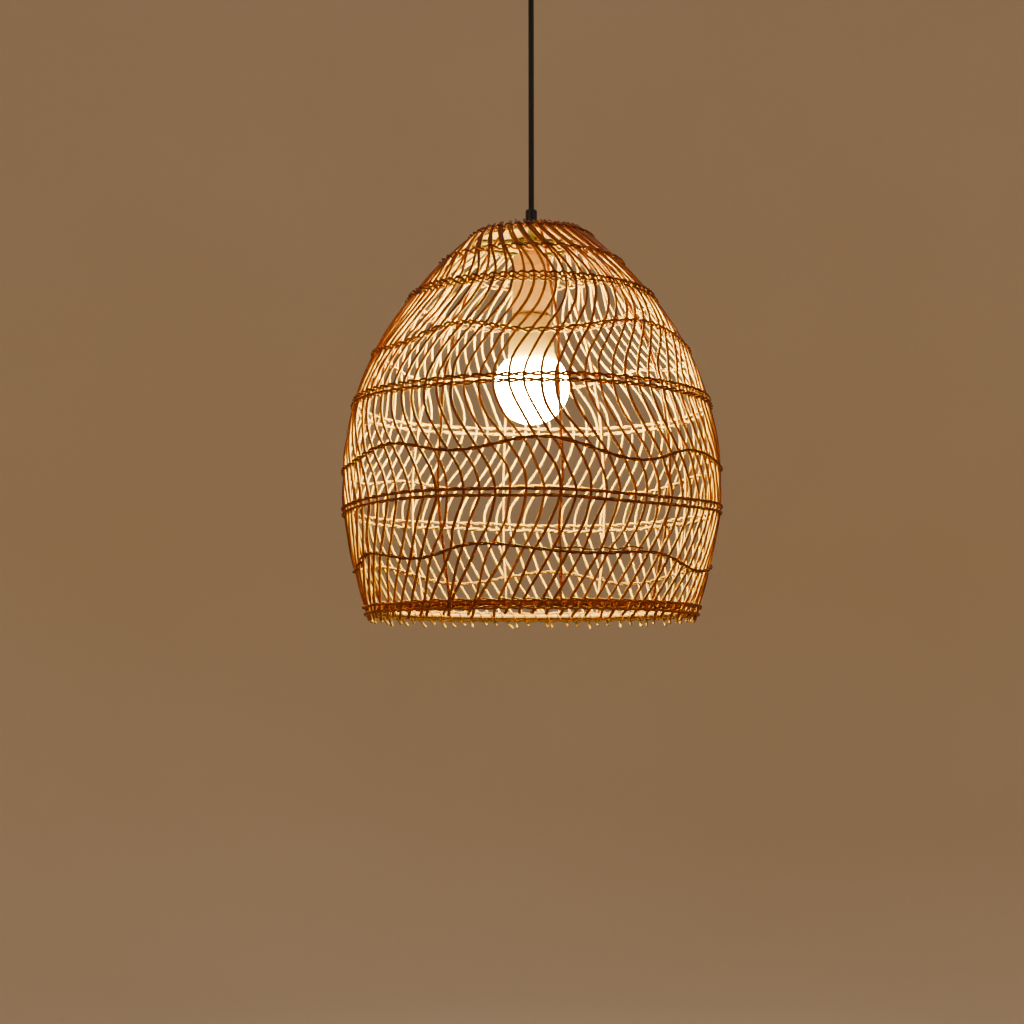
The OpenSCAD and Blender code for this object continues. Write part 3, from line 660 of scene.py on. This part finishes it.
def woven_rows():
    """Rows A to G, the two at the rim and the one that gathers the rods at the top edge."""
    # Distances below the levels of rows A and B, below the rim and below the top edge
    lower_a, lower_b, lower_thin_b = 0.0015, -0.0002, 0.0056
    lower_rim = (-0.0040, 0.0034)
    lower_top = 0.0035
    woven_row("twined_row_a", "row_a", [ROW["a"] + lower_a], by_pairs=True, radius=0.0014, looseness=0.85)
    woven_row("twined_row_b", "row_b", [ROW["b"] + lower_b], radius=0.0014, looseness=0.75)
    woven_row("thin_row_b", "row_b", [ROW["b"] + lower_thin_b], radius=0.0009, looseness=0.8)
    for name in ("d", "f"):
        woven_row(f"twined_row_{name}", f"row_{name}", double(ROW[name]), name, radius=0.0013, looseness=0.6)
    for name in ("c", "e", "g"):
        woven_row(f"twined_row_{name}", f"row_{name}", [ROW[name]], name, radius=0.00125, looseness=0.5)
    woven_row("rim_rows", "rim_binding", [SHADE_H + lower for lower in lower_rim], radius=0.0014, looseness=0.45)
    woven_row("top_row", None, [lower_top], by_pairs=True)


def strand_tail():
    """Loose end beside row G, where a new strand was laid in."""
    above_row, first, last = 0.0042, 5, 34
    paths, radii = twined_strands(ROW["g"] - above_row, "g", radius=0.001)
    azimuth = np.degrees(np.arctan2(paths[0][:, 0], -paths[0][:, 1]))
    beside = (azimuth > first) & (azimuth < last)
    piece = tubes("row_g_tail", [paths[0][beside]], [radii[0][beside]], sides=6)
    dress(piece, "lamp", BARK, "rattan_bark")


def frame_ribs():
    """Ten upright canes inside the weave, from the top ring down to the hoop."""
    steps = 60
    top = 0.003
    inside = -(ROD_R + 2 * STRAND_R + RIB_R + 0.0002)
    # Strays in degrees: of a whole rib, and of places along it
    astray, bend = 1.2, 0.35
    inward_bend = 0.0003
    paths, radii = [], []
    for k in range(RIB_COUNT):
        depth = np.linspace(top, HOOP_DEPTH - HOOP_R, steps)
        middle = RIB_AZIMUTH + 360 / RIB_COUNT * k + RANDOM.uniform(-astray, astray)
        azimuth = middle + bend * (uneven(steps, 1.0, 5) - 1)
        paths.append(on_shade(azimuth, depth, inside - inward_bend * np.abs(uneven(steps, 1.0) - 1)))
        radii.append(RIB_R * RANDOM.uniform(0.95, 1.05) * uneven(steps, 0.04))
    piece = tubes("frame_ribs", paths, radii, sides=10)
    dress(piece, "lamp", BARK, "rattan_bark", "ribs")


def rim():
    """Thick hoop inside the rods, with a thin lashing wound round it once for each rod."""
    steps = 360
    hoop = on_shade(np.arange(steps) * 360 / steps, HOOP_DEPTH, HOOP_OFF)
    piece = tubes("thick_hoop", [hoop], [HOOP_R * uneven(steps, 0.02, 9)], sides=14, closed=True)
    dress(piece, "lamp", POLE, "rattan", "rim_hoop")
    samples = 10
    s = np.arange(ROD_COUNT * samples) / samples
    turn = 2 * np.pi * s
    thread_r = 0.0007
    # The thread clears the hoop's own bumps, and is sunk into it by half the thread's radius
    over_bumps, sunk = 1.02, 0.5
    reach = HOOP_R * over_bumps + thread_r * sunk
    path = on_shade(s * SPACING, HOOP_DEPTH + reach * np.sin(turn), HOOP_OFF + reach * np.cos(turn))
    piece = tubes("hoop_lashing", [path], [thread_r], sides=6, closed=True)
    dress(piece, "lamp", POLE, "rattan")


standing_rods()
woven_rows()
strand_tail()
frame_ribs()
rim()

# ---- CAD nodes that stay, each with its material ----------------------------------------------

KEPT = {
    ZINC: ["mounting_bracket", "terminal_screws", "ceiling_nut",
           "hollow_thread", "thread_nut", "thread_washer", "holder_screws"],
    BLACK_COAT: ["canopy", "canopy_screws", "ceiling_grip_screw", "grip_screw", "spider", "top_ring"],
    BLACK_PLASTIC: ["ceiling_grip", "cord_grip"],
    WHITE_PLASTIC: ["terminal_block"],
    SHEATH: ["ceiling_cord_tail", "cord_flex", "lower_cord_tail"],
    BROWN_CORE: ["live_wire"],
    BLUE_CORE: ["neutral_wire"],
    CLEAR_CORE: ["holder_leads"],
    PALE_WOOD: ["top_disc"],
    CREAM_PLASTIC: ["holder_cap", "holder_body"],
    CHAMPAGNE_COAT: ["bulb_housing"],
    PORCELAIN: ["holder_insert"],
    BRASS: ["screw_shell", "holder_contact"],
    NICKEL: ["bulb_contact", "bulb_cap"],
    BLACK_GLASS: ["bulb_insulator"],
    BOARD: ["driver_board"],
    ALUMINIUM: ["led_plate"],
    OPAL: ["globe"],
}
for material, names in KEPT.items():
    for name in names:
        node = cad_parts[name]
        if not node.material_slots:
            node.data.materials.append(material)
        for slot in node.material_slots:
            slot.material = material

# ---- Studio -----------------------------------------------------------------------------------


def studio():
    """A round pale floor that curves up into a pale wall, and soft lights inside it."""
    below_rim = 1.0
    floor_z = TOP_Z - SHADE_H - below_rim
    floor_r, bend_r, wall_top = 3.4, 1.4, 2.6
    bend_steps, sides = 12, 96
    # Radius and height of each ring of points, from the edge of the flat floor to the top of the wall
    rings = [(floor_r, floor_z)]
    for i in range(1, bend_steps + 1):
        a = math.pi / 2 * i / bend_steps
        rings.append((floor_r + bend_r * math.sin(a), floor_z + bend_r * (1 - math.cos(a))))
    rings.append((floor_r + bend_r, wall_top))
    points = [(0, 0, floor_z)]
    for r, z in rings:
        for k in range(sides):
            a = 2 * math.pi * k / sides
            points.append((r * math.cos(a), r * math.sin(a), z))
    faces = [(0, 1 + k, 1 + (k + 1) % sides) for k in range(sides)]
    for ring in range(len(rings) - 1):
        for k in range(sides):
            a, b = 1 + ring * sides + k, 1 + ring * sides + (k + 1) % sides
            faces.append((a, a + sides, b + sides, b))
    floor = mesh_object("studio_floor", points, faces)
    s = Shader("pale_floor", Roughness=0.9)
    cloud = s.noise(plain_coordinates(s), 0.8, 2.0)
    paint = s.ramp(cloud, (0.3, (0.78, 0.62, 0.45)), (0.7, (0.81, 0.65, 0.48)))
    floor.data.materials.append(s.finish(paint))

    world = bpy.data.worlds.new("studio")
    world.use_nodes = True
    sky = world.node_tree.nodes["Background"].inputs
    sky["Color"].default_value = (1.0, 0.87, 0.72, 1)
    sky["Strength"].default_value = 0.30
    bpy.context.scene.world = world

    middle = Vector((0, 0, TOP_Z - SHADE_H / 2))
    # Place from the middle of the shade, width and power of each light
    for name, offset, size, power in (
        ("key", (-1.9, -2.4, 1.6), 1.8, 12),
        ("fill", (2.4, -1.6, 0.4), 2.0, 6),
        ("back", (0.8, 2.6, 1.8), 2.2, 16),
    ):
        data = bpy.data.lights.new(name, "AREA")
        data.energy = power
        data.size = size
        data.color = (1.0, 0.96, 0.9)
        light = bpy.data.objects.new(name, data)
        bpy.context.scene.collection.objects.link(light)
        light.location = middle + Vector(offset)
        light.rotation_euler = (-Vector(offset)).to_track_quat("-Z", "Y").to_euler()
        light.visible_camera = False


studio()
